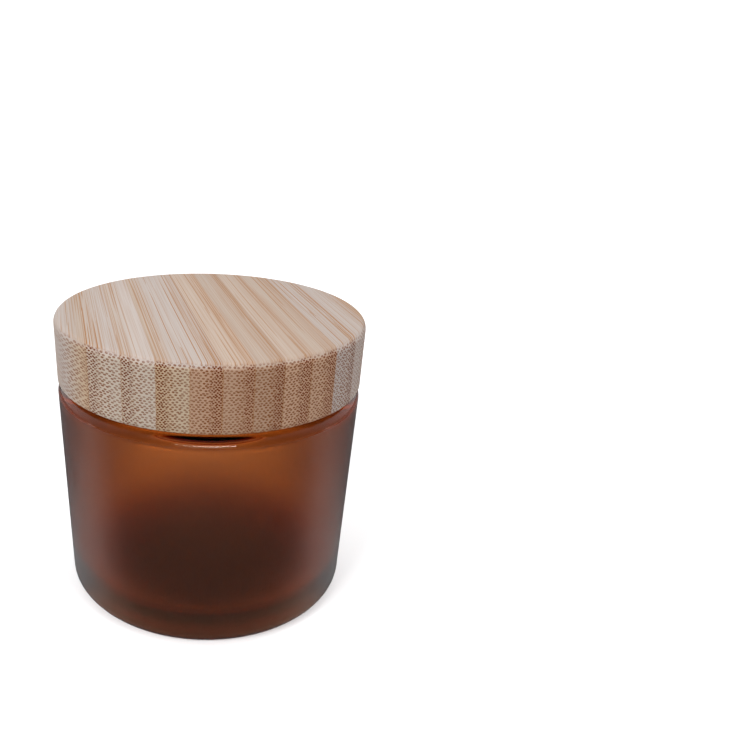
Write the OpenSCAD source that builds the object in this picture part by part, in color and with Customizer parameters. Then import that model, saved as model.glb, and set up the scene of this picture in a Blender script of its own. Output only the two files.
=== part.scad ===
// Screw-top candle jar: an amber glass jar, frosted below its shoulder, with a lid turned from
// a laminated bamboo board. A moulded threaded insert is glued into the lid, and a foam disc
// in the insert seals on the rim of the jar. The jar stands on z = 0, centred on the z axis.

/* [Jar] */
// Height of the jar with its lid screwed down
total_h = 82; // [76:1:100]
// Diameter of the glass just below its shoulder
body_d = 84.4; // [82:0.2:90]
// Diameter of the glass just above the rounded bottom corner
foot_d = 82.8; // [80:0.2:88]
// Thickness of the glass wall
wall = 3.4; // [2.6:0.2:4.2]
// Thickness of the glass bottom, from the table to the inside
bottom = 5.6; // [4:0.2:8]
// Rounding of the bottom corner
foot_r = 4.4; // [3:0.2:6]
// Rounding of the shoulder
shoulder_r = 2.7; // [1.6:0.1:3.2]
// Width of the flat ring that the jar stands on
ring_w = 5; // [3:0.5:7]
// Height of the hollow under the bottom
push_up = 1.6; // [0.8:0.2:2.4]

/* [Neck] */
// Outside diameter of the neck between its threads
neck_d = 69.2; // [68:0.2:70]
// Inside diameter of the mouth
mouth_d = 63; // [60:0.5:64]
// Gap between the shoulder and the lid
shoulder_gap = 1.2; // [0.8:0.1:2]

/* [Lid] */
// Diameter of the bamboo lid
lid_d = 84.2; // [82:0.2:90]
// Height of the bamboo lid
lid_h = 17.5; // [16:0.5:20]
// Rounding of the lid's upper edge
lid_edge_r = 1.9; // [1:0.1:3]
// Thickness of the bamboo over the recess
lid_top = 5; // [4:0.5:6]
// Width of one bamboo strip
strip_w = 7.35; // [7:0.05:8]
// Distance from the lid's centre to the first glue line, on the low side
first_joint = 34.8; // [34:0.1:36]
// Direction of the fibres, in degrees from the x axis
grain_angle = 101.5; // [90:0.5:120]

/* [Insert and seal] */
// Outside diameter of the moulded insert, and of the recess that holds it
insert_d = 75; // [74.6:0.1:76]
// Wall thickness of the insert
insert_wall = 1.3; // [1:0.1:1.3]
// Thickness of the insert's top
insert_top = 1.2; // [1:0.1:1.6]
// Thickness of the foam seal
seal_h = 1.5; // [1:0.1:2]

/* [Thread] */
// Rise of the thread in one turn
pitch = 4; // [3.6:0.1:4.2]
// How far the jar's thread stands out of its neck
thread_out = 1.2; // [1:0.05:1.3]
// How far the insert's thread stands in from its wall
thread_in = 1.1; // [0.9:0.05:1.15]
// Turns of thread on the jar
jar_turns = 1.35; // [1:0.05:1.4]
// Turns of thread in the insert
insert_turns = 1.2; // [1:0.05:1.25]

/* [Hidden] */
$fn = 128;

// Heights of the faces that meet
lid_z = total_h - lid_h;              // underside of the lid
recess_z = total_h - lid_top;         // ceiling of the recess in the bamboo
seal_z = recess_z - insert_top;       // upper face of the foam seal
rim_z = seal_z - seal_h;              // top of the glass rim, where the seal rests
shoulder_z = lid_z - shoulder_gap;    // crown of the shoulder
insert_z = lid_z + 0.6;               // lower edge of the insert

// Radii
body_r = body_d / 2;
foot_wall_r = foot_d / 2;
neck_r = neck_d / 2;
mouth_r = mouth_d / 2;
lid_r = lid_d / 2;
insert_r = insert_d / 2;
insert_bore_r = insert_r - insert_wall;

// Inside of the glass
inner_foot_r = 7;                     // rounding between the wall and the bottom
inner_shoulder_r = 2;                 // rounding under the shoulder
inner_lip_r = 1.5;                    // rounding where the mouth opens into the body
inner_shoulder_z = shoulder_z - wall;

// Small roundings
neck_fillet = 1;
rim_r = 0.9;
lid_ease = 0.25;
lid_recess_ease = 0.5;

// Thread sections, as half heights at the wall and at the crest
thread_root_half = 1.2;
thread_crest_half = 0.5;
thread_sink = 0.4;                    // how far a thread's foot runs into its wall
thread_steps = 40;                    // rings in one turn
thread_fade = 0.08;                   // turns over which each end fades out
jar_thread_z = shoulder_z + 3.3;      // middle of the jar's thread where it begins
insert_thread_drop = 1.65;            // insert's thread below the jar's thread, screwed down
insert_thread_start = 0.4;            // turns at which the insert's thread begins

STRIPS = 12;
strip_tones = ["burlywood", "tan", "wheat"];

// Points of an arc round [x, z], from angle a to angle b
function arc(x, z, r, a, b, steps = 8) =
    [for (i = [0:steps]) let (t = a + (b - a) * i / steps) [x + r * cos(t), z + r * sin(t)]];

// Radius of the outer wall at height z
function wall_r(z) =
    foot_wall_r + (body_r - foot_wall_r) * (z - foot_r) / (shoulder_z - shoulder_r - foot_r);

function jar_outside() = concat(
    [[0, push_up], [foot_wall_r - foot_r - ring_w - 6, push_up]],
    [[foot_wall_r - foot_r - ring_w, 0]],
    arc(foot_wall_r - foot_r, foot_r, foot_r, -90, 0),
    arc(body_r - shoulder_r, shoulder_z - shoulder_r, shoulder_r, 0, 90),
    arc(neck_r + neck_fillet, shoulder_z + neck_fillet, neck_fillet, 270, 180, 5),
    arc(neck_r - rim_r, rim_z - rim_r, rim_r, 0, 90, 5)
);

function jar_inside() = concat(
    arc(mouth_r + rim_r, rim_z - rim_r, rim_r, 90, 180, 5),
    arc(mouth_r + inner_lip_r, inner_shoulder_z + inner_lip_r, inner_lip_r, 180, 270, 5),
    arc(wall_r(inner_shoulder_z) - wall - inner_shoulder_r, inner_shoulder_z - inner_shoulder_r,
        inner_shoulder_r, 90, 0),
    arc(wall_r(bottom) - wall - inner_foot_r, bottom + inner_foot_r, inner_foot_r, 0, -90),
    [[0, bottom]]
);

// A helical thread from r_wall to r_crest, as one closed sweep. It is right-handed, and begins
// at height z on the angle of turn_from whole turns.
module thread(r_wall, r_crest, z, turns, turn_from = 0) {
    outward = r_crest > r_wall;
    sunk_r = r_wall + (outward ? -thread_sink : thread_sink);
    rings = ceil(turns * thread_steps);
    points = [
        for (i = [0:rings])
            let (
                turn = turns * i / rings,
                fade = min(1, (turn + 0.01) / thread_fade, (turns - turn + 0.01) / thread_fade),
                r = r_wall + (r_crest - r_wall) * fade,
                a = 360 * (turn + turn_from),
                mid = z + pitch * turn,
                flank = thread_root_half - (thread_root_half - thread_crest_half) * fade
            )
            for (p = [[sunk_r, -thread_root_half], [r, -flank], [r, flank], [sunk_r, thread_root_half]])
                [p[0] * cos(a), p[0] * sin(a), mid + p[1]]
    ];
    sides = [
        for (i = [0:rings - 1], k = [0:3])
            let (a = 4 * i + k, b = 4 * i + (k + 1) % 4)
            for (f = [[a, b, b + 4], [a, b + 4, a + 4]])
                f
    ];
    last = 4 * rings;
    ends = [[0, 3, 2], [0, 2, 1], [last, last + 1, last + 2], [last, last + 2, last + 3]];
    faces = concat(sides, ends);
    polyhedron(points, outward ? faces : [for (f = faces) [f[0], f[2], f[1]]]);
}

module glass_jar() {
    color("sienna") union() {
        rotate_extrude() polygon(concat(jar_outside(), jar_inside()));
        thread(neck_r, neck_r + thread_out, jar_thread_z, jar_turns);
    }
}

// The bamboo lid as it is turned from the glued board, before it is told apart into strips
module lid_shell() {
    rotate_extrude() polygon(concat(
        [[0, recess_z], [insert_r, recess_z], [insert_r, lid_z + lid_recess_ease]],
        [[insert_r + lid_recess_ease, lid_z], [lid_r - lid_ease, lid_z], [lid_r, lid_z + lid_ease]],
        arc(lid_r - lid_edge_r, total_h - lid_edge_r, lid_edge_r, 0, 90, 6),
        [[0, total_h]]
    ));
}

// Strip number i of the board, counted from 1, between two glue lines
module bamboo_strip(i) {
    low = i == 1 ? -lid_r - 1 : (i - 2) * strip_w - first_joint;
    high = i == STRIPS ? lid_r + 1 : (i - 1) * strip_w - first_joint;
    color(strip_tones[i % len(strip_tones)]) intersection() {
        lid_shell();
        rotate([0, 0, grain_angle - 90]) translate([low, -lid_r - 1, lid_z - 1])
            cube([high - low, lid_d + 2, lid_h + 2]);
    }
}

module lid_insert() {
    color("whitesmoke") union() {
        difference() {
            translate([0, 0, insert_z]) cylinder(r = insert_r, h = recess_z - insert_z);
            translate([0, 0, insert_z - 1]) cylinder(r = insert_bore_r, h = seal_z - insert_z + 1);
        }
        thread(insert_bore_r, insert_bore_r - thread_in,
            jar_thread_z + insert_thread_start * pitch - insert_thread_drop,
            insert_turns, insert_thread_start);
    }
}

module seal_liner() {
    color("white") translate([0, 0, rim_z]) cylinder(r = insert_bore_r - 0.4, h = seal_h);
}

glass_jar();
seal_liner();
lid_insert();
bamboo_strip(1);  // bamboo_strip_01
bamboo_strip(2);  // bamboo_strip_02
bamboo_strip(3);  // bamboo_strip_03
bamboo_strip(4);  // bamboo_strip_04
bamboo_strip(5);  // bamboo_strip_05
bamboo_strip(6);  // bamboo_strip_06
bamboo_strip(7);  // bamboo_strip_07
bamboo_strip(8);  // bamboo_strip_08
bamboo_strip(9);  // bamboo_strip_09
bamboo_strip(10);  // bamboo_strip_10
bamboo_strip(11);  // bamboo_strip_11
bamboo_strip(12);  // bamboo_strip_12
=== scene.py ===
"""Screw-top candle jar in frosted amber glass, with a lid turned from laminated bamboo.

The glass, the threaded insert and the foam seal are turned by one Geometry Nodes tree that
sweeps an outline round the axis and raises the screw thread on it. The bamboo lid is turned
the same way and then cut into the strips of its board. Everything is in metres.
"""
import math

import bmesh
import bpy
from mathutils import Euler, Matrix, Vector


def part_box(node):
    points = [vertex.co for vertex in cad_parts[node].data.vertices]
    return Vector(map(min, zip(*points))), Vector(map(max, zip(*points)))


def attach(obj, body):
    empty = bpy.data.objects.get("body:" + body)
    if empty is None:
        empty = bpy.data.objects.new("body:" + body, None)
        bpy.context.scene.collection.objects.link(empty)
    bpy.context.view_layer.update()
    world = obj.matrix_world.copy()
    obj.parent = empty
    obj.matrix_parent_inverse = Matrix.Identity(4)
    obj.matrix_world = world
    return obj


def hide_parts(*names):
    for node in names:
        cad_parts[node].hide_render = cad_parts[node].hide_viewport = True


bl_info = {
    "name": "Candle jar",
    "version": (1, 0, 0),
    "blender": (4, 5, 0),
    "location": "3D View > Sidebar > Candle jar",
    "description": "Makes a frosted glass candle jar with a laminated bamboo screw lid",
    "category": "Object",
}

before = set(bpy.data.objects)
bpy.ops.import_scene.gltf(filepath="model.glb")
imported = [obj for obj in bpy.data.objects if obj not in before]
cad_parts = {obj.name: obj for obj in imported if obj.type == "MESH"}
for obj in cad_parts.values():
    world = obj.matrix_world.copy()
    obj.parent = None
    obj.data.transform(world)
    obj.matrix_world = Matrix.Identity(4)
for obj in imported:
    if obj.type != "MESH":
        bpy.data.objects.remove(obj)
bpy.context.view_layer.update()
MM = 0.001

JAR_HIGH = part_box("glass_jar")[1]
LID_LOW, LID_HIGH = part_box("bamboo_strip_06")
INSERT_LOW, INSERT_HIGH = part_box("lid_insert")
SEAL_LOW, SEAL_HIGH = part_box("seal_liner")
STRIP_NODES = sorted(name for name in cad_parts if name.startswith("bamboo_strip_"))


# ---------------------------------------------------------------------------
# Settings
# ---------------------------------------------------------------------------

def length(name, description, default, **more):
    return bpy.props.FloatProperty(
        name=name, description=description, default=default, unit="LENGTH", precision=5, **more)


def angle(name, description, default):
    return bpy.props.FloatProperty(
        name=name, description=description, default=math.radians(default), subtype="ANGLE")


def number(name, description, default, **more):
    return bpy.props.FloatProperty(name=name, description=description, default=default, **more)


def colour(name, description, default):
    return bpy.props.FloatVectorProperty(
        name=name, description=description, default=default, size=3, subtype="COLOR",
        min=0.0, max=1.0)


class CandleJarGlass(bpy.types.PropertyGroup):
    wall: length("Wall", "Thickness of the glass wall", 3.4 * MM)
    bottom: length("Bottom", "Height of the inside bottom over the table", 5.6 * MM)
    foot_radius: length("Foot radius", "Radius of the wall just above the bottom corner", 41.4 * MM)
    foot_round: length("Foot rounding", "Rounding of the bottom corner", 4.4 * MM)
    ring_width: length("Ring width", "Width of the ring that the jar stands on", 5.0 * MM)
    push_up: length("Push-up", "Height of the hollow under the bottom", 1.5 * MM)
    bar_count: bpy.props.IntProperty(
        name="Bars", description="Number of small bars moulded round the standing ring", default=90)
    bar_depth: length("Bar depth", "Depth of the grooves between the bars", 0.22 * MM)
    shoulder_round: length("Shoulder rounding", "Rounding of the shoulder", 2.7 * MM)
    shoulder_gap: length("Shoulder gap", "Gap between the shoulder and the lid", 1.2 * MM)
    neck_radius: length("Neck radius", "Radius of the neck between its threads", 34.6 * MM)
    mouth_radius: length("Mouth radius", "Radius of the mouth", 31.5 * MM)
    frost_angle: angle("Frost edge", "Where the frosting stops on the shoulder's rounding", 12)
    waviness: length("Waviness", "Unevenness of the inside of the glass", 0.12 * MM)


class CandleJarThread(bpy.types.PropertyGroup):
    pitch: length("Pitch", "Rise of the thread in one turn", 4.0 * MM)
    jar_out: length("Jar thread", "How far the jar's thread stands out", 1.2 * MM)
    insert_in: length("Insert thread", "How far the insert's thread stands in", 1.1 * MM)
    root_half: length("Root half height", "Half the thread's height at the wall", 1.15 * MM)
    crest_half: length("Crest half height", "Half the thread's height at its crest", 0.45 * MM)
    jar_start: length("Jar start", "Height of the jar's thread over the shoulder", 3.3 * MM)
    jar_turns: number("Jar turns", "Turns of thread on the jar", 1.35)
    insert_turns: number("Insert turns", "Turns of thread in the insert", 1.2)
    insert_from: number("Insert begins", "Turns at which the insert's thread begins", 0.4)
    insert_drop: length("Insert drop", "Insert's thread below the jar's thread", 1.65 * MM)
    fade: number("Fade", "Turns over which each end of a thread fades out", 0.06)


class CandleJarLid(bpy.types.PropertyGroup):
    edge_round: length("Edge rounding", "Rounding of the lid's upper edge", 1.9 * MM)
    ease: length("Easing", "Rounding of the lid's lower edges", 0.25 * MM)
    strip_width: length("Strip width", "Width of one bamboo strip", 7.35 * MM)
    first_joint: length("First joint", "From the centre to the first glue line", -34.8 * MM)
    grain_turn: angle("Grain turn", "How far the fibres are turned from the front", 11.5)
    insert_wall: length("Insert wall", "Wall thickness of the insert", 1.3 * MM)


class CandleJarFinish(bpy.types.PropertyGroup):
    amber: colour("Amber", "Colour that the glass lets through", (0.83, 0.487, 0.01))
    amber_density: number("Amber density", "How strongly the glass colours light, per metre", 560.0)
    frost_roughness: number("Frost roughness", "Roughness of the frosted glass", 0.36)
    plastic: colour("Plastic", "Colour of the insert", (0.80, 0.80, 0.78))
    foam: colour("Foam", "Colour of the seal", (0.86, 0.86, 0.84))
    bundle_end: colour("Bundle ends", "Colour of crowded bundles cut across", (0.14, 0.026, 0.003))
    bundle_heart: colour("Loose bundles", "Colour of loose bundles cut across", (0.19, 0.056, 0.015))
    bundle_side: colour("Bundle sides", "Colour of fibre bundles along the grain", (0.34, 0.150, 0.040))


class CandleJarStage(bpy.types.PropertyGroup):
    floor_size: length("Floor", "Width of the floor", 12.0)
    camera_place: bpy.props.FloatVectorProperty(
        name="Camera place", description="Where the camera stands", unit="LENGTH",
        default=(0.0, -0.1974, 0.1405))
    camera_tilt: angle("Camera tilt", "How far the camera looks down", 26.38)
    camera_pan: angle("Camera pan", "How far the camera is turned to its right", 2.69)
    camera_roll: angle("Camera roll", "How far the camera leans", 2.24)
    lens: number("Lens", "Focal length in millimetres on a 36 mm sensor", 35.61)
    shift_x: number("Shift across", "Sideways shift of the picture", 0.18)
    shift_y: number("Shift up", "Upward shift of the picture", 0.0867)


SETTINGS = {
    "candle_jar_glass": CandleJarGlass,
    "candle_jar_thread": CandleJarThread,
    "candle_jar_lid": CandleJarLid,
    "candle_jar_finish": CandleJarFinish,
    "candle_jar_stage": CandleJarStage,
}


# ---------------------------------------------------------------------------
# Node helpers
# ---------------------------------------------------------------------------

def feed(tree, socket, value):
    """Links an output to a socket, or sets the socket to a plain value."""
    if isinstance(value, bpy.types.NodeSocket):
        tree.links.new(value, socket)
    else:
        socket.default_value = value


def add(tree, kind, settings=None, **values):
    """A new node, with its settings and the inputs named in values."""
    node = tree.nodes.new(kind)
    for name, value in (settings or {}).items():
        setattr(node, name, value)
    for name, value in values.items():
        feed(tree, node.inputs[name.replace("_", " ")], value)
    return node


def calc(tree, operation, *values, clamp=False):
    """A Math node's output."""
    node = tree.nodes.new("ShaderNodeMath")
    node.operation = operation
    node.use_clamp = clamp
    for socket, value in zip(node.inputs, values):
        feed(tree, socket, value)
    return node.outputs[0]


def smooth(tree, value, low, high, to_low=0.0, to_high=1.0):
    """value taken from low..high to to_low..to_high with a soft start and end."""
    node = add(tree, "ShaderNodeMapRange", {"interpolation_type": "SMOOTHSTEP"})
    for name, given in (
        ("Value", value), ("From Min", low), ("From Max", high), ("To Min", to_low), ("To Max", to_high)
    ):
        feed(tree, node.inputs[name], given)
    return node.outputs["Result"]


def blend_colour(tree, factor, first, second, kind="MIX"):
    """A colour Mix node's output."""
    node = add(tree, "ShaderNodeMix", {"data_type": "RGBA", "blend_type": kind})
    for index, value in ((0, factor), (6, first), (7, second)):
        feed(tree, node.inputs[index], value)
    return node.outputs[2]


def opaque(rgb):
    """A colour with full alpha."""
    return (*rgb, 1.0)


def new_socket(tree, name, kind, in_out="INPUT", default=None):
    """An input or output of a node group."""
    socket = tree.interface.new_socket(name=name, in_out=in_out, socket_type=kind)
    if default is not None:
        socket.default_value = default
    return socket


def new_material(name):
    """A material with nothing but an output, and its node tree."""
    material = bpy.data.materials.new(name)
    material.use_nodes = True
    tree = material.node_tree
    tree.nodes.clear()
    tree.nodes.new("ShaderNodeOutputMaterial")
    return material, tree


def show(tree, shader, volume=None):
    """Connects the shader, and the volume if there is one, to the material's output."""
    out = next(node for node in tree.nodes if node.type == "OUTPUT_MATERIAL")
    tree.links.new(shader.outputs[0], out.inputs["Surface"])
    if volume is not None:
        tree.links.new(volume.outputs[0], out.inputs["Volume"])


# ---------------------------------------------------------------------------
# Turning: one tree for every piece that is round about the axis
# ---------------------------------------------------------------------------

def turning_tree():
    """Sweeps an outline, a chain of points in the XZ plane, round the Z axis.

    The outline's own attributes say what each of its points takes part in: thread, bars,
    waves and frost.
    """
    tree = bpy.data.node_groups.new("Turn an outline", "GeometryNodeTree")
    new_socket(tree, "Geometry", "NodeSocketGeometry")
    for name, default in (
        ("Thread out", 0.0), ("Thread height", 0.0), ("Thread turns", 1.0), ("Thread from", 0.0),
        ("Pitch", 0.004), ("Root half", 0.0012), ("Crest half", 0.0005), ("Fade", 0.06),
        ("Bar depth", 0.0), ("Wave depth", 0.0),
    ):
        new_socket(tree, name, "NodeSocketFloat", default=default)
    new_socket(tree, "Segments", "NodeSocketInt", default=360)
    new_socket(tree, "Bar count", "NodeSocketInt", default=90)
    new_socket(tree, "Wave seed", "NodeSocketFloat", default=3.0)
    new_socket(tree, "Material", "NodeSocketMaterial")
    new_socket(tree, "Geometry", "NodeSocketGeometry", "OUTPUT")
    given = tree.nodes.new("NodeGroupInput").outputs
    outline = given["Geometry"]

    # A flat grid: one column for each step round the axis, one row for each outline point
    size = add(tree, "GeometryNodeAttributeDomainSize", {"component": "MESH"}, Geometry=outline)
    rows = size.outputs["Point Count"]
    grid = add(
        tree, "GeometryNodeMeshGrid", Size_X=1.0, Size_Y=1.0,
        Vertices_X=calc(tree, "ADD", given["Segments"], 1.0), Vertices_Y=rows)
    place = add(
        tree, "ShaderNodeSeparateXYZ",
        Vector=tree.nodes.new("GeometryNodeInputPosition").outputs[0])
    around = calc(tree, "ADD", place.outputs["X"], 0.5)
    theta = calc(tree, "MULTIPLY", around, math.tau)
    upward = calc(tree, "ADD", place.outputs["Y"], 0.5)
    row = calc(tree, "ROUND", calc(tree, "MULTIPLY", upward, calc(tree, "SUBTRACT", rows, 1.0)))

    def sampled(value, data_type):
        node = add(tree, "GeometryNodeSampleIndex", {"data_type": data_type, "domain": "POINT"},
                   Geometry=outline, Value=value, Index=row)
        return node.outputs["Value"]

    def mask(name):
        named = add(tree, "GeometryNodeInputNamedAttribute", {"data_type": "FLOAT"}, Name=name)
        return sampled(named.outputs["Attribute"], "FLOAT")

    point = add(
        tree, "ShaderNodeSeparateXYZ",
        Vector=sampled(tree.nodes.new("GeometryNodeInputPosition").outputs[0], "FLOAT_VECTOR"))
    radius, height = point.outputs["X"], point.outputs["Z"]

    # The thread: the turn of the helix that passes nearest to this point
    start = calc(tree, "SUBTRACT", around, given["Thread from"])
    level = calc(tree, "DIVIDE", calc(tree, "SUBTRACT", height, given["Thread height"]), given["Pitch"])
    turn = calc(tree, "ADD", start, calc(tree, "ROUND", calc(tree, "SUBTRACT", level, start)))
    off = calc(tree, "ABSOLUTE", calc(tree, "MULTIPLY", calc(tree, "SUBTRACT", level, turn), given["Pitch"]))
    ridge = smooth(tree, off, given["Crest half"], given["Root half"], 1.0, 0.0)
    run_in = calc(tree, "DIVIDE", turn, given["Fade"], clamp=True)
    run_out = calc(
        tree, "DIVIDE", calc(tree, "SUBTRACT", given["Thread turns"], turn), given["Fade"], clamp=True)
    ends = calc(tree, "MULTIPLY", run_in, run_out)
    thread = calc(tree, "MULTIPLY", calc(tree, "MULTIPLY", ridge, ends), mask("thread"))
    thread = calc(tree, "MULTIPLY", thread, given["Thread out"])

    # Unevenness of pressed glass, and the bars round the standing ring
    flat = add(tree, "ShaderNodeCombineXYZ", X=calc(tree, "COSINE", theta), Y=calc(tree, "SINE", theta),
               Z=calc(tree, "MULTIPLY", height, 30.0))
    wave = add(tree, "ShaderNodeTexNoise", {"noise_dimensions": "4D"}, Vector=flat.outputs[0],
               W=given["Wave seed"], Scale=1.6, Detail=1.0)
    wave = calc(tree, "MULTIPLY", calc(tree, "SUBTRACT", wave.outputs[0], 0.5), given["Wave depth"])
    wave = calc(tree, "MULTIPLY", wave, mask("waves"))
    bar = calc(tree, "COSINE", calc(tree, "MULTIPLY", theta, given["Bar count"]))
    bar = smooth(tree, bar, -0.3, 0.3)
    bar = calc(tree, "MULTIPLY", calc(tree, "MULTIPLY", bar, mask("bars")), given["Bar depth"])

    out = calc(tree, "ADD", radius, calc(tree, "ADD", thread, wave))
    swept = add(
        tree, "ShaderNodeCombineXYZ",
        X=calc(tree, "MULTIPLY", out, calc(tree, "COSINE", theta)),
        Y=calc(tree, "MULTIPLY", out, calc(tree, "SINE", theta)),
        Z=calc(tree, "ADD", height, bar))
    frost = add(
        tree, "GeometryNodeStoreNamedAttribute", {"data_type": "FLOAT", "domain": "POINT"},
        Geometry=grid.outputs["Mesh"], Name="frost", Value=mask("frost"))
    placed = add(tree, "GeometryNodeSetPosition", Geometry=frost.outputs[0], Position=swept.outputs[0])
    closed = add(tree, "GeometryNodeMergeByDistance", Geometry=placed.outputs[0], Distance=1e-6)
    shaded = add(tree, "GeometryNodeSetShadeSmooth", Geometry=closed.outputs[0])
    real = add(tree, "GeometryNodeRealizeInstances", Geometry=shaded.outputs[0])
    finished = add(tree, "GeometryNodeSetMaterial", Geometry=real.outputs[0], Material=given["Material"])
    tree.links.new(finished.outputs[0], tree.nodes.new("NodeGroupOutput").inputs[0])
    return tree


def set_inputs(modifier, values):
    """Sets a Geometry Nodes modifier's inputs by name, through their identifiers."""
    sockets = {
        item.name: item.identifier
        for item in modifier.node_group.interface.items_tree
        if item.item_type == "SOCKET" and item.in_out == "INPUT"
    }
    for name, value in values.items():
        modifier[sockets[name]] = value


class Outline:
    """Points of a turned shape, (radius, height), with what each of them takes part in."""

    masks = ("thread", "bars", "waves", "frost")

    def __init__(self):
        self.points = []
        self.marks = {name: [] for name in self.masks}

    def to(self, points, **marks):
        """Goes on through the points, leaving out one that repeats the last."""
        for point in points:
            if self.points and math.dist(self.points[-1], point) < 1e-7:
                continue
            self.points.append(point)
            for name in self.masks:
                self.marks[name].append(marks.get(name, 0.0))

    def mesh(self, name):
        """A chain of edges in the XZ plane, with the marks as attributes."""
        mesh = bpy.data.meshes.new(name)
        count = len(self.points)
        edges = [(i, i + 1) for i in range(count - 1)]
        mesh.from_pydata([(radius, 0.0, height) for radius, height in self.points], edges, [])
        for mark, values in self.marks.items():
            mesh.attributes.new(mark, "FLOAT", "POINT").data.foreach_set("value", values)
        return mesh


def arc(centre, radius, first, last, steps=8):
    """Points on an arc, with its angles in degrees from the outward direction."""
    angles = (math.radians(first + (last - first) * i / steps) for i in range(steps + 1))
    return [(centre[0] + radius * math.cos(a), centre[1] + radius * math.sin(a)) for a in angles]


def line(start, end, steps=1):
    """Evenly spaced points from start to end."""
    return [
        (start[0] + (end[0] - start[0]) * i / steps, start[1] + (end[1] - start[1]) * i / steps)
        for i in range(steps + 1)
    ]


def turn(outline, name, material, **inputs):
    """The outline swept round the axis, as an object with a plain mesh."""
    piece = bpy.data.objects.new(name, outline.mesh(name + "_outline"))
    bpy.context.scene.collection.objects.link(piece)
    modifier = piece.modifiers.new("Turn an outline", "NODES")
    modifier.node_group = bpy.data.node_groups.get("Turn an outline") or turning_tree()
    values = {key.replace("_", " "): value for key, value in inputs.items()}
    set_inputs(modifier, {**values, "Material": material})
    evaluated = piece.evaluated_get(bpy.context.evaluated_depsgraph_get())
    made = bpy.data.meshes.new_from_object(evaluated)
    piece.modifiers.remove(modifier)
    old, piece.data = piece.data, made
    bpy.data.meshes.remove(old)
    made.name = name
    if volume_of(made) <= 0:
        raise RuntimeError(f"{name} came out inside out or empty")
    return piece


def volume_of(mesh):
    """The volume inside a mesh, negative where its faces point inwards."""
    shape = bmesh.new()
    shape.from_mesh(mesh)
    volume = shape.calc_volume(signed=True)
    shape.free()
    return volume


# ---------------------------------------------------------------------------
# Outlines
# ---------------------------------------------------------------------------

def shoulder_height(glass):
    """Height of the crown of the shoulder."""
    return LID_LOW.z - glass.shoulder_gap


def wall_radius(glass, height):
    """Radius of the slightly tapered outer wall at a height."""
    low, high = glass.foot_round, shoulder_height(glass) - glass.shoulder_round
    share = (height - low) / (high - low)
    return glass.foot_radius + (JAR_HIGH.x - glass.foot_radius) * share


def jar_outline(glass):
    """From the middle of the underside, up the outside, over the rim and down the inside."""
    shoulder, rim = shoulder_height(glass), JAR_HIGH.z
    body, wall = JAR_HIGH.x, glass.wall
    foot, corner = glass.foot_radius, glass.foot_round
    ring_out = foot - corner
    ring_in = ring_out - glass.ring_width
    shape = Outline()
    # Underside: a shallow dome, then the ring, with bars between its plain margins
    dome, sag, margin, step_in = ring_in - 3.5 * MM, 0.15, 0.7 * MM, 0.1 * MM
    shape.to([(dome * i / 10, glass.push_up * (1 - sag * (i / 10) ** 2)) for i in range(11)], frost=1.0)
    shape.to(line((dome, glass.push_up * (1 - sag)), (ring_in, 0.0), 4)[1:], frost=1.0)
    shape.to(line((ring_in, 0.0), (ring_in + margin, 0.0), 2), frost=1.0)
    bars_in, bars_out = ring_in + margin + step_in, ring_out - margin - step_in
    shape.to(line((bars_in, 0.0), (bars_out, 0.0), 4), frost=1.0, bars=1.0)
    shape.to(line((ring_out - margin, 0.0), (ring_out, 0.0), 2), frost=1.0)
    # Outer wall
    shape.to(arc((ring_out, corner), corner, -90, 0, 12), frost=1.0)
    high = shoulder - glass.shoulder_round
    shape.to(line((foot, corner), (body, high), 24), frost=1.0)
    # The shoulder's rounding: the frosting thins out up to the frost edge, then polished
    centre = (body - glass.shoulder_round, high)
    edge, steps = math.degrees(glass.frost_angle), 8
    for step, point in enumerate(arc(centre, glass.shoulder_round, 0, edge, steps)):
        shape.to([point], frost=1 - step / steps)
    shape.to(arc(centre, glass.shoulder_round, edge, 90, 12))
    # Neck with its thread, and the rim
    neck, mouth = glass.neck_radius, glass.mouth_radius
    fillet, lip = 1.0 * MM, 0.9 * MM
    shape.to(arc((neck + fillet, shoulder + fillet), fillet, 270, 180, 6))
    shape.to(line((neck, shoulder + fillet), (neck, rim - lip), 50), thread=1.0)
    shape.to(arc((neck - lip, rim - lip), lip, 0, 90, 7))
    shape.to(arc((mouth + lip, rim - lip), lip, 90, 180, 7))
    # Inside, with its roundings under the mouth, under the shoulder and at the bottom
    under, inner_lip, inner_round, inner_foot = shoulder - wall, 1.5 * MM, 2.0 * MM, 7.0 * MM
    shape.to(line((mouth, rim - lip), (mouth, under + inner_lip), 8), waves=0.4)
    shape.to(arc((mouth + inner_lip, under + inner_lip), inner_lip, 180, 270, 6), waves=0.6)
    inner_high = wall_radius(glass, under) - wall
    shape.to(arc((inner_high - inner_round, under - inner_round), inner_round, 90, 0, 8), waves=1.0)
    inner_low = wall_radius(glass, glass.bottom) - wall
    shape.to(
        line((inner_high, under - inner_round), (inner_low, glass.bottom + inner_foot), 20), waves=1.0)
    shape.to(arc((inner_low - inner_foot, glass.bottom + inner_foot), inner_foot, 0, -90, 12), waves=1.0)
    flat, crown, steps = inner_low - inner_foot, 0.25 * MM, 12
    shape.to([
        (flat * (1 - i / steps), glass.bottom + crown * math.sin(math.pi / 2 * i / steps) ** 2)
        for i in range(steps + 1)
    ])
    return shape


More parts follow.
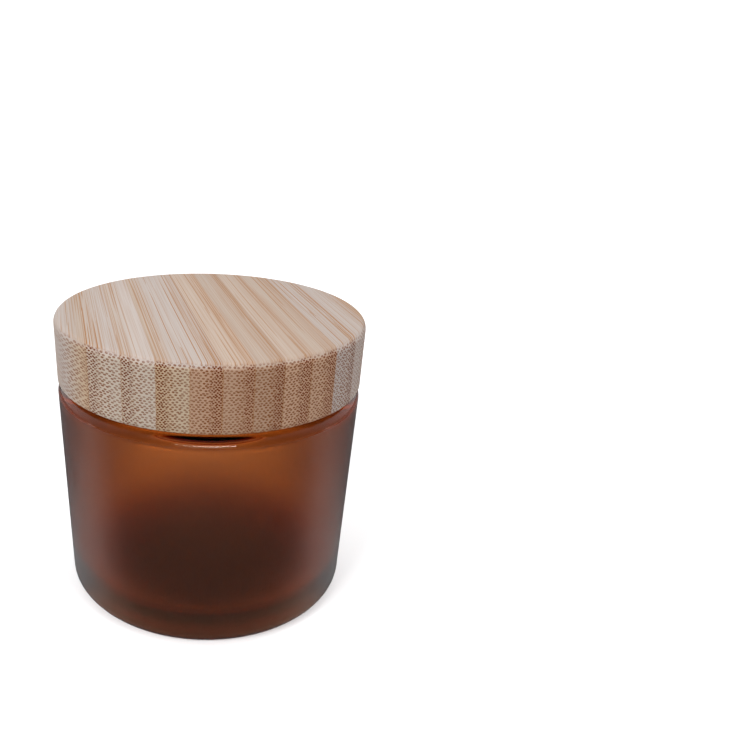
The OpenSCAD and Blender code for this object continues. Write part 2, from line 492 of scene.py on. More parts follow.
def lid_outline(lid):
    """From the middle of the recess, down and out under the rim, and up over the top."""
    ease, edge = lid.ease, lid.edge_round
    low, high = LID_LOW.z, LID_HIGH.z
    outer, recess = lid_radius(), INSERT_HIGH.x
    shape = Outline()
    shape.to(line((0.0, INSERT_HIGH.z), (recess, INSERT_HIGH.z), 6))
    shape.to(line((recess, INSERT_HIGH.z), (recess, low + ease), 6))
    shape.to(arc((recess + ease, low + ease), ease, 180, 270, 4))
    shape.to(arc((outer - ease, low + ease), ease, 270, 360, 4))
    shape.to(line((outer, low + ease), (outer, high - edge), 8))
    shape.to(arc((outer - edge, high - edge), edge, 0, 90, 10))
    shape.to(line((outer - edge, high), (0.0, high), 12))
    return shape


def lid_radius():
    """Half the width of the whole lid, over all its strips."""
    return max(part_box(name)[1].y for name in STRIP_NODES)


def insert_outline(lid):
    """A cup, mouth down: from the middle of its ceiling, down the bore and up the outside."""
    low, high = INSERT_LOW.z, INSERT_HIGH.z
    outer = INSERT_HIGH.x
    bore, ceiling = outer - lid.insert_wall, SEAL_HIGH.z
    ease = 0.3 * MM
    shape = Outline()
    shape.to(line((0.0, ceiling), (bore - ease, ceiling), 6))
    shape.to(arc((bore - ease, ceiling - ease), ease, 90, 0, 3))
    shape.to(line((bore, ceiling - ease), (bore, low + 2 * ease), 44), thread=1.0)
    shape.to([(bore + 0.5 * ease, low + ease), (bore + ease, low)])
    shape.to(arc((outer - ease, low + ease), ease, 270, 360, 3))
    shape.to(line((outer, low + ease), (outer, high - ease), 6))
    shape.to(arc((outer - ease, high - ease), ease, 0, 90, 3))
    shape.to(line((outer - ease, high), (0.0, high), 6))
    return shape


def seal_outline():
    """A flat disc with eased edges, from the middle of its lower face."""
    low, high, outer = SEAL_LOW.z, SEAL_HIGH.z, SEAL_HIGH.x
    ease = 0.15 * MM
    shape = Outline()
    shape.to(line((0.0, low), (outer - ease, low), 24))
    shape.to(arc((outer - ease, low + ease), ease, 270, 360, 3))
    shape.to(arc((outer - ease, high - ease), ease, 0, 90, 3))
    shape.to(line((outer - ease, high), (0.0, high), 12))
    return shape


# ---------------------------------------------------------------------------
# Materials
# ---------------------------------------------------------------------------

def amber_glass(finish):
    """Amber glass whose frost attribute says where it is acid-frosted and where polished."""
    material, tree = new_material("Amber glass")
    place = tree.nodes.new("ShaderNodeTexCoord").outputs["Object"]
    frost = add(tree, "ShaderNodeAttribute", {"attribute_name": "frost"}).outputs["Fac"]
    grain = add(tree, "ShaderNodeTexNoise", Vector=place, Scale=5200.0, Detail=2.0, Roughness=0.6)
    cloud = add(tree, "ShaderNodeTexNoise", Vector=place, Scale=90.0, Detail=3.0)
    etched = calc(tree, "MULTIPLY_ADD", cloud.outputs[0], 0.05, finish.frost_roughness - 0.025)
    etched = calc(tree, "MULTIPLY_ADD", grain.outputs[0], 0.10, calc(tree, "SUBTRACT", etched, 0.05))
    roughness = add(tree, "ShaderNodeMix", {"data_type": "FLOAT"})
    feed(tree, roughness.inputs[0], frost)
    feed(tree, roughness.inputs[2], 0.03)
    feed(tree, roughness.inputs[3], etched)
    bump = add(
        tree, "ShaderNodeBump", Height=calc(tree, "MULTIPLY", grain.outputs[0], frost),
        Strength=0.25, Distance=0.00006)
    shader = add(
        tree, "ShaderNodeBsdfPrincipled", Base_Color=(1.0, 1.0, 1.0, 1.0), Roughness=roughness.outputs[0],
        IOR=1.5, Transmission_Weight=1.0, Normal=bump.outputs[0])
    volume = add(
        tree, "ShaderNodeVolumeAbsorption", Color=opaque(finish.amber), Density=finish.amber_density)
    show(tree, shader, volume)
    return material


# Fibre bundles cut across: spacing in a row, spacing of rows, half width and half height
CROWDED_BUNDLES = (0.78 * MM, 0.47 * MM, 0.28 * MM, 0.22 * MM)
LOOSE_BUNDLES = (1.04 * MM, 0.60 * MM, 0.34 * MM, 0.24 * MM)
BUNDLE_SCATTER = 0.42
# Streaks along the grain: spacing, length, half width, and where their strength starts
DENSE_STREAKS = (0.72 * MM, 60 * MM, 0.16 * MM, -0.1)
LONE_STREAKS = (1.50 * MM, 65 * MM, 0.16 * MM, 0.1)
FAINT_STREAKS = (0.48 * MM, 30 * MM, 0.12 * MM, -0.2)
FAINT_SHARE = 0.35
# How far the bundles wander, and how far each strip's pattern is shifted, so that no two match
WANDER_ACROSS, WANDER_UP = 0.9 * MM, 2.0 * MM
SHIFT_ACROSS, SHIFT_UP = 7.1 * MM, 13.7 * MM
STREAK_SLOPE = 0.83
JOINT_EDGE = (0.04 * MM, 0.18 * MM)


def bamboo_group():
    """Colour, roughness and relief of one strip of bamboo, as a solid pattern.

    Fibre bundles run along the grain: cut across they are dots, crowded towards the rind,
    and on faces along the grain they are long streaks.
    """
    tree = bpy.data.node_groups.new("Bamboo strip", "ShaderNodeTree")
    for name, default in (
        ("Low edge", 0.0), ("Width", 0.00735), ("Rind side", 0.0), ("Crowded share", 0.3),
        ("Dot strength", 1.0), ("Streak strength", 1.0), ("Joint strength", 0.4), ("Grain turn", 0.2),
        ("Seed", 0.0), ("Top", 0.082),
    ):
        new_socket(tree, name, "NodeSocketFloat", default=default)
    for name, default in (
        ("Face colour", (0.5, 0.4, 0.33, 1.0)), ("End colour", (0.5, 0.4, 0.3, 1.0)),
        ("Rind tint", (0.9, 0.85, 0.8, 1.0)), ("Bundle ends", (0.13, 0.05, 0.02, 1.0)),
        ("Loose bundles", (0.25, 0.12, 0.07, 1.0)), ("Bundle sides", (0.42, 0.2, 0.08, 1.0)),
    ):
        new_socket(tree, name, "NodeSocketColor", default=default)
    for name, kind in (
        ("Color", "NodeSocketColor"), ("Roughness", "NodeSocketFloat"), ("Height", "NodeSocketFloat"),
    ):
        new_socket(tree, name, kind, "OUTPUT")
    given = tree.nodes.new("NodeGroupInput").outputs
    coordinates = tree.nodes.new("ShaderNodeTexCoord").outputs

    def on_board(vector):
        """Turned to the board: X across the strips, Y along the grain, Z up."""
        turned = add(tree, "ShaderNodeVectorRotate", {"rotation_type": "Z_AXIS"}, Vector=vector,
                     Angle=calc(tree, "MULTIPLY", given["Grain turn"], -1.0))
        return add(tree, "ShaderNodeSeparateXYZ", Vector=turned.outputs[0]).outputs

    across, along, up = on_board(coordinates["Object"])
    _, facing, level = on_board(coordinates["Normal"])
    facing = calc(tree, "ABSOLUTE", facing)
    end_grain = calc(
        tree, "MULTIPLY", smooth(tree, facing, 0.10, 0.38), smooth(tree, level, 0.5, 0.97, 1.0, 0.0))
    share = calc(
        tree, "DIVIDE", calc(tree, "SUBTRACT", across, given["Low edge"]), given["Width"], clamp=True)
    depth = calc(tree, "ABSOLUTE", calc(tree, "SUBTRACT", given["Rind side"], share))

    # The bundles wander a little along the grain
    slow = add(tree, "ShaderNodeCombineXYZ", X=calc(tree, "MULTIPLY", across, 60.0),
               Y=calc(tree, "MULTIPLY", along, 16.0), Z=calc(tree, "MULTIPLY", up, 40.0))
    drift = add(tree, "ShaderNodeTexNoise", {"noise_dimensions": "4D"}, Vector=slow.outputs[0],
                W=given["Seed"], Scale=1.0, Detail=1.0)
    drift = add(tree, "ShaderNodeSeparateColor", Color=drift.outputs["Color"]).outputs
    across_now = calc(tree, "MULTIPLY_ADD", calc(tree, "SUBTRACT", drift[0], 0.5), WANDER_ACROSS, across)
    up_now = calc(tree, "MULTIPLY_ADD", calc(tree, "SUBTRACT", drift[1], 0.5), WANDER_UP, up)
    up_now = calc(tree, "MULTIPLY_ADD", given["Seed"], SHIFT_UP, up_now)

    def nearest(first, second, randomness):
        """Offsets from the nearest point of a loose unit lattice, and that point's own numbers."""
        place = add(tree, "ShaderNodeCombineXYZ", X=first, Y=second).outputs[0]
        cells = add(tree, "ShaderNodeTexVoronoi", {"voronoi_dimensions": "2D", "feature": "F1"},
                    Vector=place, Scale=1.0, Randomness=randomness)
        off = add(tree, "ShaderNodeVectorMath", {"operation": "SUBTRACT"})
        feed(tree, off.inputs[0], place)
        feed(tree, off.inputs[1], cells.outputs["Position"])
        off = add(tree, "ShaderNodeSeparateXYZ", Vector=off.outputs[0]).outputs
        own = add(tree, "ShaderNodeSeparateColor", Color=cells.outputs["Color"]).outputs
        return off["X"], off["Y"], own

    def spot(side, height, half_width, half_height):
        """Distance from the middle of an ellipse, 1 on its edge."""
        side = calc(tree, "DIVIDE", side, half_width)
        height = calc(tree, "DIVIDE", height, half_height)
        return calc(tree, "SQRT", calc(tree, "ADD", calc(tree, "MULTIPLY", side, side),
                                       calc(tree, "MULTIPLY", height, height)))

    def bundle_ends(spacing, row, half_width, half_height):
        """Distance from the nearest bundle of staggered rows, 1 on its edge, and its numbers."""
        column = calc(tree, "DIVIDE", across_now, spacing)
        storey = calc(tree, "DIVIDE", up_now, 2 * row)
        first, second, own = nearest(
            calc(tree, "ADD", column, storey), calc(tree, "SUBTRACT", column, storey), BUNDLE_SCATTER)
        side = calc(tree, "MULTIPLY", calc(tree, "ADD", first, second), spacing / 2)
        height = calc(tree, "MULTIPLY", calc(tree, "SUBTRACT", first, second), row)
        return spot(side, height, half_width, half_height), own

    # Cut across: small solid dots at the rind, larger ones with a pale heart further in
    near_spot, own = bundle_ends(*CROWDED_BUNDLES)
    crowded = smooth(tree, near_spot, 1.05, 0.75)
    crowded = calc(tree, "MULTIPLY", crowded, calc(tree, "MULTIPLY_ADD", own[0], 0.25, 0.85))
    far_spot, own = bundle_ends(*LOOSE_BUNDLES)
    heart = smooth(tree, far_spot, 0.0, 0.6, 0.55, 1.0)
    spread = calc(tree, "MULTIPLY", smooth(tree, far_spot, 1.1, 0.75), heart)
    spread = calc(tree, "MULTIPLY", spread, calc(tree, "MULTIPLY_ADD", own[0], 0.3, 0.8))
    spread = calc(tree, "MULTIPLY", spread, smooth(tree, depth, 0.3, 1.0, 1.0, 0.75))
    jitter = calc(tree, "MULTIPLY_ADD", own[1], 0.16, calc(tree, "SUBTRACT", depth, 0.08))
    far = smooth(tree, jitter, calc(tree, "SUBTRACT", given["Crowded share"], 0.10),
                 calc(tree, "ADD", given["Crowded share"], 0.10))
    near = calc(tree, "SUBTRACT", 1.0, far)
    dots = calc(tree, "ADD", calc(tree, "MULTIPLY", crowded, near), calc(tree, "MULTIPLY", spread, far))
    dots = calc(tree, "MULTIPLY", dots, given["Dot strength"], clamp=True)

    # Along the grain: long tapered streaks, closest together at the rind
    # and level all the way along the sides of the lid
    from_axis = calc(tree, "SQRT", calc(tree, "ADD", calc(tree, "MULTIPLY", across, across),
                                        calc(tree, "MULTIPLY", along, along)))
    from_axis = calc(tree, "MULTIPLY", from_axis, calc(tree, "SIGN", across))
    upright = smooth(tree, level, 0.0, 0.7, 1.0, 0.0)
    on_side = calc(tree, "MULTIPLY", upright, smooth(tree, facing, 0.2, 0.6, 1.0, 0.0))
    below = calc(tree, "MULTIPLY", calc(tree, "SUBTRACT", up, given["Top"]), upright)
    flank = calc(tree, "MULTIPLY_ADD", below, STREAK_SLOPE, across_now)
    flank = calc(tree, "MULTIPLY_ADD", on_side, calc(tree, "SUBTRACT", from_axis, across), flank)
    flank = calc(tree, "MULTIPLY_ADD", given["Seed"], SHIFT_ACROSS, flank)

    def streaks(spacing, long, half_width, least):
        """Tapered streaks, each with its own strength."""
        side, run, own = nearest(
            calc(tree, "DIVIDE", flank, spacing), calc(tree, "DIVIDE", along, long), 1.0)
        line = spot(calc(tree, "MULTIPLY", side, spacing), calc(tree, "MULTIPLY", run, long),
                    half_width, 0.75 * long)
        line = smooth(tree, line, 1.0, 0.65)
        return calc(tree, "MULTIPLY", line, smooth(tree, own[0], least, 1.0))

    at_rind = smooth(tree, depth, 0.10, 0.55, 1.0, 0.25)
    dense = calc(tree, "MULTIPLY", streaks(*DENSE_STREAKS), at_rind)
    faint = calc(tree, "MULTIPLY", streaks(*FAINT_STREAKS), FAINT_SHARE)
    streak = calc(tree, "MAXIMUM", calc(tree, "MAXIMUM", dense, streaks(*LONE_STREAKS)), faint)
    streak = calc(tree, "MULTIPLY", streak, given["Streak strength"], clamp=True)

    # Ground tissue with fine fibres along the grain
    fine = add(tree, "ShaderNodeCombineXYZ", X=calc(tree, "MULTIPLY", across_now, 3400.0),
               Y=calc(tree, "MULTIPLY", along, 45.0), Z=calc(tree, "MULTIPLY", up_now, 3400.0))
    fibre = add(tree, "ShaderNodeTexNoise", Vector=fine.outputs[0], Scale=1.0, Detail=3.0, Roughness=0.6)
    broad = add(tree, "ShaderNodeCombineXYZ", X=calc(tree, "MULTIPLY", across, 420.0),
                Y=calc(tree, "MULTIPLY", along, 9.0), Z=calc(tree, "MULTIPLY", up, 120.0))
    band = add(tree, "ShaderNodeTexNoise", {"noise_dimensions": "4D"}, Vector=broad.outputs[0],
               W=given["Seed"], Scale=1.0, Detail=2.0)
    shade = calc(tree, "MULTIPLY_ADD", fibre.outputs[0], 0.16, 0.92)
    shade = calc(tree, "MULTIPLY", shade, calc(tree, "MULTIPLY_ADD", band.outputs[0], 0.14, 0.93))
    shade = add(tree, "ShaderNodeCombineColor", Red=shade, Green=shade, Blue=shade).outputs[0]
    end_tone = calc(
        tree, "MULTIPLY", smooth(tree, facing, 0.25, 0.7), smooth(tree, level, 0.15, 0.7, 1.0, 0.0))
    ground = blend_colour(tree, end_tone, given["Face colour"], given["End colour"])
    ground = blend_colour(tree, 1.0, ground, shade, "MULTIPLY")
    ground = blend_colour(tree, smooth(tree, depth, 0.0, 0.7, 1.0, 0.0), ground,
                          blend_colour(tree, 1.0, ground, given["Rind tint"], "MULTIPLY"))

    lengthwise = blend_colour(tree, streak, ground, given["Bundle sides"])
    crosswise = blend_colour(
        tree, dots, ground, blend_colour(tree, near, given["Loose bundles"], given["Bundle ends"]))
    shown = blend_colour(tree, end_grain, lengthwise, crosswise)
    nearer = calc(tree, "MINIMUM", share, calc(tree, "SUBTRACT", 1.0, share))
    edge = calc(tree, "MULTIPLY", nearer, given["Width"])
    joint = calc(tree, "MULTIPLY", smooth(tree, edge, *JOINT_EDGE, 1.0, 0.0), given["Joint strength"])
    shown = blend_colour(tree, joint, shown, given["Bundle sides"])

    mask = calc(tree, "MULTIPLY", dots, end_grain)
    roughness = calc(tree, "MULTIPLY_ADD", fibre.outputs[0], 0.16, 0.44)
    roughness = calc(tree, "MULTIPLY_ADD", mask, 0.12, roughness)
    relief = calc(tree, "MULTIPLY_ADD", mask, -0.6, calc(tree, "MULTIPLY", fibre.outputs[0], 0.5))
    out = tree.nodes.new("NodeGroupOutput")
    for name, value in (("Color", shown), ("Roughness", roughness), ("Height", relief)):
        tree.links.new(value, out.inputs[name])
    return tree


# Tones of sanded bamboo along the grain
BLOND = (0.50, 0.43, 0.39)
HONEY = (0.47, 0.37, 0.30)
# Tones of sanded bamboo cut across the grain, each with the tint that it takes at the rind
CREAM = (0.53, 0.45, 0.37), (0.96, 0.91, 0.85)
STRAW = (0.54, 0.42, 0.30), (0.95, 0.87, 0.77)
TAN = (0.47, 0.30, 0.20), (0.92, 0.84, 0.78)
GREY = (0.48, 0.41, 0.37), (0.96, 0.91, 0.87)

# How each strip of the board looks, from the low side: the side its rind is on, the share that
# is crowded with bundles, the strength of its dots, streaks and joint, then its tone and shade
# along the grain, and its tone and shade across it
STRIP_LOOKS = (
    (1.0, 0.05, 0.80, 0.8, 0.3, BLOND, 0.90, STRAW, 1.05),
    (0.0, 0.30, 1.05, 1.4, 0.3, BLOND, 0.95, CREAM, 1.00),
    (0.0, 0.30, 1.00, 1.0, 0.3, BLOND, 1.00, CREAM, 1.00),
    (0.0, 0.35, 1.05, 0.9, 0.3, BLOND, 0.95, STRAW, 0.95),
    (1.0, 0.35, 1.10, 1.0, 0.5, BLOND, 0.95, TAN, 1.00),
    (1.0, 0.30, 1.00, 0.9, 0.3, HONEY, 1.05, TAN, 0.95),
    (1.0, 0.35, 1.10, 1.0, 0.3, HONEY, 0.95, TAN, 0.90),
    (1.0, 0.45, 1.20, 1.0, 0.3, HONEY, 1.00, TAN, 1.05),
    (1.0, 0.40, 1.20, 1.0, 0.3, HONEY, 0.95, TAN, 1.05),
    (1.0, 0.20, 1.10, 1.4, 0.3, BLOND, 0.90, GREY, 0.95),
    (1.0, 0.10, 0.75, 1.1, 0.2, BLOND, 0.90, GREY, 1.00),
    (0.0, 0.10, 0.60, 0.9, 0.2, HONEY, 0.95, GREY, 1.00),
)


def shaded(tone, shade):
    """A tone made lighter or darker."""
    return opaque([shade * channel for channel in tone])


def bamboo(index, low_edge, lid, finish):
    """The material of one strip."""
    rind_side, crowded, dots, streaks, joint, along, along_shade, (across, rind), across_shade = (
        STRIP_LOOKS[index])
    material, tree = new_material(f"Bamboo {index + 1:02d}")
    strip = add(
        tree, "ShaderNodeGroup",
        {"node_tree": bpy.data.node_groups.get("Bamboo strip") or bamboo_group()},
        Low_edge=low_edge, Width=lid.strip_width, Rind_side=rind_side, Crowded_share=crowded,
        Dot_strength=dots, Streak_strength=streaks, Joint_strength=joint, Grain_turn=lid.grain_turn,
        Seed=1.7 * index + 0.3, Top=LID_HIGH.z, Face_colour=shaded(along, along_shade),
        End_colour=shaded(across, across_shade), Rind_tint=opaque(rind),
        Bundle_ends=opaque(finish.bundle_end), Loose_bundles=opaque(finish.bundle_heart),
        Bundle_sides=opaque(finish.bundle_side))
    bump = add(tree, "ShaderNodeBump", Height=strip.outputs["Height"], Strength=0.35, Distance=0.00005)
    shader = add(
        tree, "ShaderNodeBsdfPrincipled", Base_Color=strip.outputs["Color"],
        Roughness=strip.outputs["Roughness"], Specular_IOR_Level=0.2, Normal=bump.outputs[0])
    show(tree, shader)
    return material


def moulded_plastic(finish):
    """Satin polypropylene, faintly uneven."""
    material, tree = new_material("Moulded plastic")
    place = tree.nodes.new("ShaderNodeTexCoord").outputs["Object"]
    cloud = add(tree, "ShaderNodeTexNoise", Vector=place, Scale=120.0, Detail=3.0)
    grain = add(tree, "ShaderNodeTexNoise", Vector=place, Scale=2600.0, Detail=2.0)
    tone = blend_colour(
        tree, cloud.outputs[0], opaque(finish.plastic), opaque([0.94 * c for c in finish.plastic]))
    roughness = calc(tree, "MULTIPLY_ADD", cloud.outputs[0], 0.14, 0.32)
    bump = add(tree, "ShaderNodeBump", Height=grain.outputs[0], Strength=0.2, Distance=0.00004)
    shader = add(
        tree, "ShaderNodeBsdfPrincipled", Base_Color=tone, Roughness=roughness, Normal=bump.outputs[0],
        Subsurface_Weight=0.15, Subsurface_Scale=0.001)
    show(tree, shader)
    return material


def foam(finish):
    """Closed-cell foam sheet: small round cells that show as shallow dimples."""
    material, tree = new_material("Sealing foam")
    place = tree.nodes.new("ShaderNodeTexCoord").outputs["Object"]
    cells = add(tree, "ShaderNodeTexVoronoi", {"feature": "SMOOTH_F1"}, Vector=place, Scale=1800.0)
    depth = cells.outputs["Distance"]
    tone = blend_colour(
        tree, smooth(tree, depth, 0.1, 0.7), opaque(finish.foam), opaque([0.86 * c for c in finish.foam]))
    bump = add(tree, "ShaderNodeBump", Height=depth, Strength=0.5, Distance=0.00012)
    roughness = calc(tree, "MULTIPLY_ADD", depth, 0.2, 0.6)
    shader = add(
        tree, "ShaderNodeBsdfPrincipled", Base_Color=tone, Roughness=roughness, Normal=bump.outputs[0])
    show(tree, shader)
    return material


# How bright the paper is to the glass and the wood: a bright card behind the jar, painted shade
# in front of it, a painted shadow under it, and painted shade to the left and right where the card ends
CARD_FADE, CARD_TONES = (-49 * MM, -19 * MM), (0.13, 0.7)
# Painted shadow: the paper under the jar is dark to the glass and the wood
SHADOW_UNDER_FADE, SHADOW_UNDER_TONES = (18 * MM, 43 * MM), (0.04, 1.0)
ASIDE_FADE = (32 * MM, 57 * MM)
ASIDE_BEHIND, ASIDE_SHARES = (-30 * MM, 50 * MM), (0.0, 0.66)
# The warm ring of painted light that the paper gives off round the foot, which fades out behind the jar's
# front
RING_RISE, RING_FALL = (40 * MM, 44 * MM), (46 * MM, 62 * MM)
RING_BEHIND = (-36 * MM, -15 * MM)
RING_COLOUR = (1.0, 0.38, 0.13, 1.0)
# What the camera sees: paper that glows more with its distance, in metres, from the jar
PAPER_FADE, PAPER_GLOW = (0.1, 0.8), (0.3, 0.7)


def paper_floor():
    """White paper that the camera sees brighter than the glass and the wood do; to them it shows painted
    shade in front of the jar and a painted shadow under it, and round the foot it glows with a ring of
    painted light.
    """
    material, tree = new_material("Paper floor")
    place = tree.nodes.new("ShaderNodeTexCoord").outputs["Object"]
    cloud = add(tree, "ShaderNodeTexNoise", Vector=place, Scale=3.0, Detail=2.0)
    tone = blend_colour(tree, cloud.outputs[0], (0.9, 0.9, 0.9, 1.0), (0.88, 0.88, 0.885, 1.0))
    seen = tree.nodes.new("ShaderNodeLightPath").outputs["Is Camera Ray"]
    beside, behind, _ = add(tree, "ShaderNodeSeparateXYZ", Vector=place).outputs
    away = add(tree, "ShaderNodeVectorMath", {"operation": "LENGTH"})
    feed(tree, away.inputs[0], place)
    away = away.outputs["Value"]
    # Painted shade and a painted shadow, seen by the glass and the wood only: dark paper in front, under the
    # jar and to the sides
    card = smooth(tree, behind, *CARD_FADE, *CARD_TONES)
    card = calc(tree, "MULTIPLY", card, smooth(tree, away, *SHADOW_UNDER_FADE, *SHADOW_UNDER_TONES))
    aside = smooth(tree, calc(tree, "ABSOLUTE", beside), *ASIDE_FADE)
    aside = calc(tree, "MULTIPLY", aside, smooth(tree, behind, *ASIDE_BEHIND, *ASIDE_SHARES))
    card = calc(tree, "MULTIPLY", card, calc(tree, "SUBTRACT", 1.0, aside))
    # Painted light: a ring of the paper round the foot glows, orange to the glass and the wood and white to
    # the camera
    ring = calc(
        tree, "MULTIPLY", smooth(tree, away, *RING_RISE), smooth(tree, away, *RING_FALL, 1.0, 0.0))
    ring = calc(tree, "MULTIPLY", ring, smooth(tree, behind, *RING_BEHIND, 1.0, 0.0))
    card = add(tree, "ShaderNodeCombineColor", Red=card, Green=card, Blue=card).outputs[0]
    tone = blend_colour(tree, seen, card, tone)
    paper = smooth(tree, away, *PAPER_FADE, *PAPER_GLOW)
    # The paper's emission carries the painted glow of the ring as well as the glow that the camera sees
    shader = add(
        tree, "ShaderNodeBsdfPrincipled", Base_Color=tone, Roughness=0.85,
        Emission_Color=blend_colour(tree, seen, RING_COLOUR, (1.0, 1.0, 1.0, 1.0)),
        Emission_Strength=calc(tree, "MAXIMUM", calc(tree, "MULTIPLY", seen, paper), ring))
    show(tree, shader)
    return material


# ---------------------------------------------------------------------------
# Operators
# ---------------------------------------------------------------------------

class CANDLEJAR_OT_glass(bpy.types.Operator):
    """Make the frosted glass jar with its threaded neck"""
    bl_idname = "candlejar.glass"
    bl_label = "Glass jar"
    bl_options = {"REGISTER", "UNDO"}

    def execute(self, context):
        scene = context.scene
        glass, thread = scene.candle_jar_glass, scene.candle_jar_thread
        jar = turn(
            jar_outline(glass), "jar_glass", amber_glass(scene.candle_jar_finish),
            Thread_out=thread.jar_out, Thread_height=shoulder_height(glass) + thread.jar_start,
            Thread_turns=thread.jar_turns, Thread_from=0.0, Pitch=thread.pitch,
            Root_half=thread.root_half, Crest_half=thread.crest_half, Fade=thread.fade,
            Bar_depth=glass.bar_depth, Bar_count=glass.bar_count, Wave_depth=glass.waviness)
        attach(jar, "jar")
        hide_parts("glass_jar")
        return {"FINISHED"}


class CANDLEJAR_OT_seal(bpy.types.Operator):
    """Make the foam disc that seals the lid on the rim"""
    bl_idname = "candlejar.seal"
    bl_label = "Foam seal"
    bl_options = {"REGISTER", "UNDO"}

    def execute(self, context):
        scene = context.scene
        seal = turn(
            seal_outline(), "foam_seal", foam(scene.candle_jar_finish), Segments=180)
        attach(seal, "liner")
        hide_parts("seal_liner")
        return {"FINISHED"}


class CANDLEJAR_OT_insert(bpy.types.Operator):
    """Make the moulded insert with the lid's thread"""
    bl_idname = "candlejar.insert"
    bl_label = "Threaded insert"
    bl_options = {"REGISTER", "UNDO"}

    def execute(self, context):
        scene = context.scene
        glass, thread, lid = scene.candle_jar_glass, scene.candle_jar_thread, scene.candle_jar_lid
        height = shoulder_height(glass) + thread.jar_start + thread.insert_from * thread.pitch
        insert = turn(
            insert_outline(lid), "threaded_insert", moulded_plastic(scene.candle_jar_finish),
            Thread_out=-thread.insert_in, Thread_height=height - thread.insert_drop,
            Thread_turns=thread.insert_turns, Thread_from=thread.insert_from, Pitch=thread.pitch,
            Root_half=thread.root_half, Crest_half=thread.crest_half, Fade=thread.fade)
        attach(insert, "lid")
        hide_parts("lid_insert")
        return {"FINISHED"}


def cut_strip(blank, name, low, high, normal):
    """A copy of the turned lid between two planes across the board, closed where it is cut."""
    shape = bmesh.new()
    shape.from_mesh(blank)
    for edge, sign in ((low, -1.0), (high, 1.0)):
        if edge is None:
            continue
        cut = bmesh.ops.bisect_plane(
            shape, geom=shape.verts[:] + shape.edges[:] + shape.faces[:], dist=1e-7,
            plane_co=normal * edge, plane_no=normal * sign, clear_outer=True)
        seam = [item for item in cut["geom_cut"] if isinstance(item, bmesh.types.BMEdge)]
        filled = bmesh.ops.edgeloop_fill(shape, edges=seam)
        for face in filled["faces"]:
            face.smooth = False
            for border in face.edges:
                border.smooth = False
    bmesh.ops.recalc_face_normals(shape, faces=shape.faces[:])
    if any(not edge.is_manifold for edge in shape.edges):
        raise RuntimeError(f"{name} isn't closed")
    mesh = bpy.data.meshes.new(name)
    shape.to_mesh(mesh)
    shape.free()
    return mesh


class CANDLEJAR_OT_strips(bpy.types.Operator):
    """Turn the bamboo lid and tell it apart into the strips of its board"""
    bl_idname = "candlejar.strips"
    bl_label = "Bamboo strips"
    bl_options = {"REGISTER", "UNDO"}

    def execute(self, context):
        scene = context.scene
        lid, finish = scene.candle_jar_lid, scene.candle_jar_finish
        blank = turn(lid_outline(lid), "lid_blank", None)
        normal = Vector((math.cos(lid.grain_turn), math.sin(lid.grain_turn), 0.0))
        last = len(STRIP_NODES) - 1
        for index, node in enumerate(STRIP_NODES):
            low_edge = lid.first_joint + (index - 1) * lid.strip_width
            low = None if index == 0 else low_edge
            high = None if index == last else low_edge + lid.strip_width
            mesh = cut_strip(blank.data, f"lid_strip_{index + 1:02d}", low, high, normal)
            mesh.materials.clear()
            mesh.materials.append(bamboo(index, low_edge, lid, finish))
            strip = bpy.data.objects.new(mesh.name, mesh)
            scene.collection.objects.link(strip)
            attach(strip, "lid")
            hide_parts(node)
        bpy.data.objects.remove(blank)
        return {"FINISHED"}


def area_light(name, place, aim, size, power):
    """A rectangular soft light, in metres and watts, that shows neither itself nor a reflection."""
    data = bpy.data.lights.new(name, "AREA")
    data.shape = "RECTANGLE"
    data.size, data.size_y = size
    data.energy = power
    light = bpy.data.objects.new(name, data)
    light.location = place
    light.visible_camera = False
    light.visible_glossy = False
    light.rotation_euler = (Vector(aim) - Vector(place)).to_track_quat("-Z", "Y").to_euler()
    bpy.context.scene.collection.objects.link(light)
    return light


# The room's brightness from the front to the back, and what the camera itself sees of it
ROOM_FADE, ROOM_TONES, ROOM_SEEN = (-0.7, 0.68), (0.10, 0.95), 1.3


def studio_world():
    """A white room that is dimmer in front, where the camera stands."""
    world = bpy.data.worlds.new("White room")
    bpy.context.scene.world = world
    world.use_nodes = True
    tree = world.node_tree
    tree.nodes.clear()
    around = tree.nodes.new("ShaderNodeTexCoord").outputs["Generated"]
    direction = add(tree, "ShaderNodeSeparateXYZ", Vector=around)
    front = smooth(tree, direction.outputs["Y"], *ROOM_FADE, *ROOM_TONES)
    seen = tree.nodes.new("ShaderNodeLightPath").outputs["Is Camera Ray"]
    strength = calc(tree, "MAXIMUM", front, calc(tree, "MULTIPLY", seen, ROOM_SEEN))
    background = add(tree, "ShaderNodeBackground", Color=(0.985, 0.99, 1.0, 1.0), Strength=strength)
    out = tree.nodes.new("ShaderNodeOutputWorld")
    tree.links.new(background.outputs[0], out.inputs["Surface"])


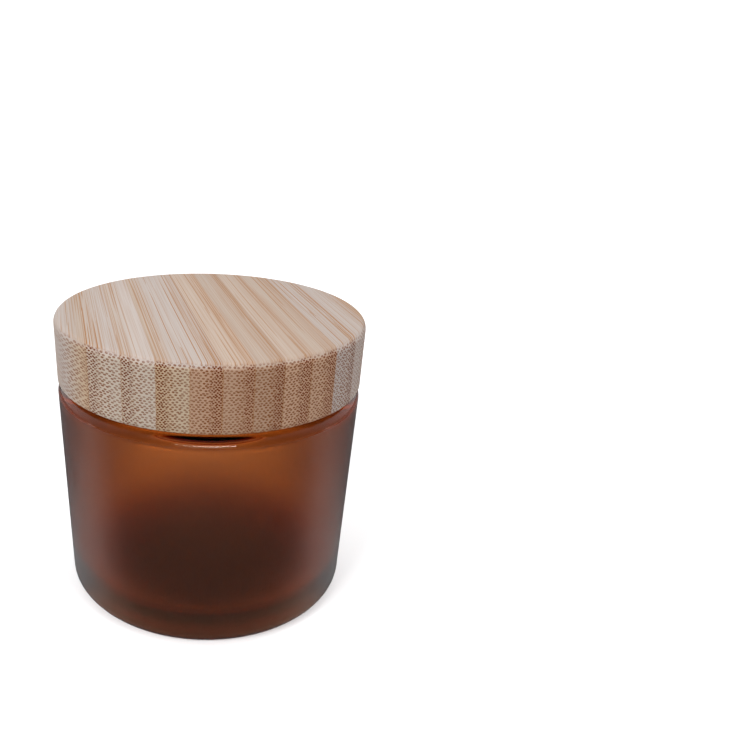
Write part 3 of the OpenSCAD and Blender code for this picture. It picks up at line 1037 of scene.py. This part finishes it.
class CANDLEJAR_OT_stage(bpy.types.Operator):
    """Set up the pale floor, the soft lights and the camera"""
    bl_idname = "candlejar.stage"
    bl_label = "Stage"
    bl_options = {"REGISTER", "UNDO"}

    def execute(self, context):
        stage = context.scene.candle_jar_stage
        mesh = bpy.data.meshes.new("floor")
        half = stage.floor_size / 2
        corners = [(-half, -half, 0.0), (half, -half, 0.0), (half, half, 0.0), (-half, half, 0.0)]
        mesh.from_pydata(corners, [], [(0, 1, 2, 3)])
        mesh.materials.append(paper_floor())
        floor = bpy.data.objects.new("floor", mesh)
        context.scene.collection.objects.link(floor)

        studio_world()
        middle = (0.0, 0.0, JAR_HIGH.z / 2)
        area_light("Softbox left", (-0.45, -0.55, 0.55), middle, (0.35, 0.35), 5.0)
        area_light("Softbox right", (0.50, -0.50, 0.50), middle, (0.35, 0.35), 3.0)
        area_light("Softbox top", (0.0, 0.25, 0.9), middle, (0.8, 0.8), 1.0)
        for name, side, power in (("Fill left", -0.6, 0.7), ("Fill right", 0.6, 0.4)):
            fill = area_light(name, (side, -0.1, 0.12), middle, (0.3, 0.3), power)
            fill.visible_transmission = False
        # Seen only as the line of light on the shoulder
        shoulder = (0.0, -0.042, 0.0617)
        strip = area_light("Strip light", (-0.02, -0.53, 0.155), shoulder, (0.40, 0.03), 0.9)
        strip.visible_glossy = True
        strip.visible_diffuse = False
        strip.visible_transmission = False

        data = bpy.data.cameras.new("Camera")
        data.sensor_width = 36.0
        data.lens = stage.lens
        data.shift_x, data.shift_y = stage.shift_x, stage.shift_y
        camera = bpy.data.objects.new("Camera", data)
        camera.location = stage.camera_place
        lean = Euler((0.0, 0.0, stage.camera_roll)).to_matrix()
        tilt = Euler((math.pi / 2 - stage.camera_tilt, 0.0, 0.0)).to_matrix()
        pan = Euler((0.0, 0.0, -stage.camera_pan)).to_matrix()
        camera.rotation_euler = (pan @ tilt @ lean).to_euler()
        context.scene.collection.objects.link(camera)
        context.scene.camera = camera
        context.scene.view_settings.view_transform = "Standard"
        return {"FINISHED"}


class CANDLEJAR_PT_panel(bpy.types.Panel):
    """Lists the pieces of the candle jar"""
    bl_idname = "CANDLEJAR_PT_panel"
    bl_label = "Candle jar"
    bl_space_type = "VIEW_3D"
    bl_region_type = "UI"
    bl_category = "Candle jar"

    def draw(self, context):
        for operator in OPERATORS:
            self.layout.operator(operator.bl_idname)


OPERATORS = (
    CANDLEJAR_OT_stage, CANDLEJAR_OT_glass, CANDLEJAR_OT_seal, CANDLEJAR_OT_insert, CANDLEJAR_OT_strips,
)


def register():
    for name, group in SETTINGS.items():
        bpy.utils.register_class(group)
        setattr(bpy.types.Scene, name, bpy.props.PointerProperty(type=group))
    for operator in OPERATORS:
        bpy.utils.register_class(operator)
    bpy.utils.register_class(CANDLEJAR_PT_panel)


def unregister():
    bpy.utils.unregister_class(CANDLEJAR_PT_panel)
    for operator in reversed(OPERATORS):
        bpy.utils.unregister_class(operator)
    for name, group in reversed(SETTINGS.items()):
        delattr(bpy.types.Scene, name)
        bpy.utils.unregister_class(group)


def main():
    register()
    for operator in OPERATORS:
        category, name = operator.bl_idname.split(".")
        getattr(getattr(bpy.ops, category), name)()


if __name__ == "__main__":
    main()
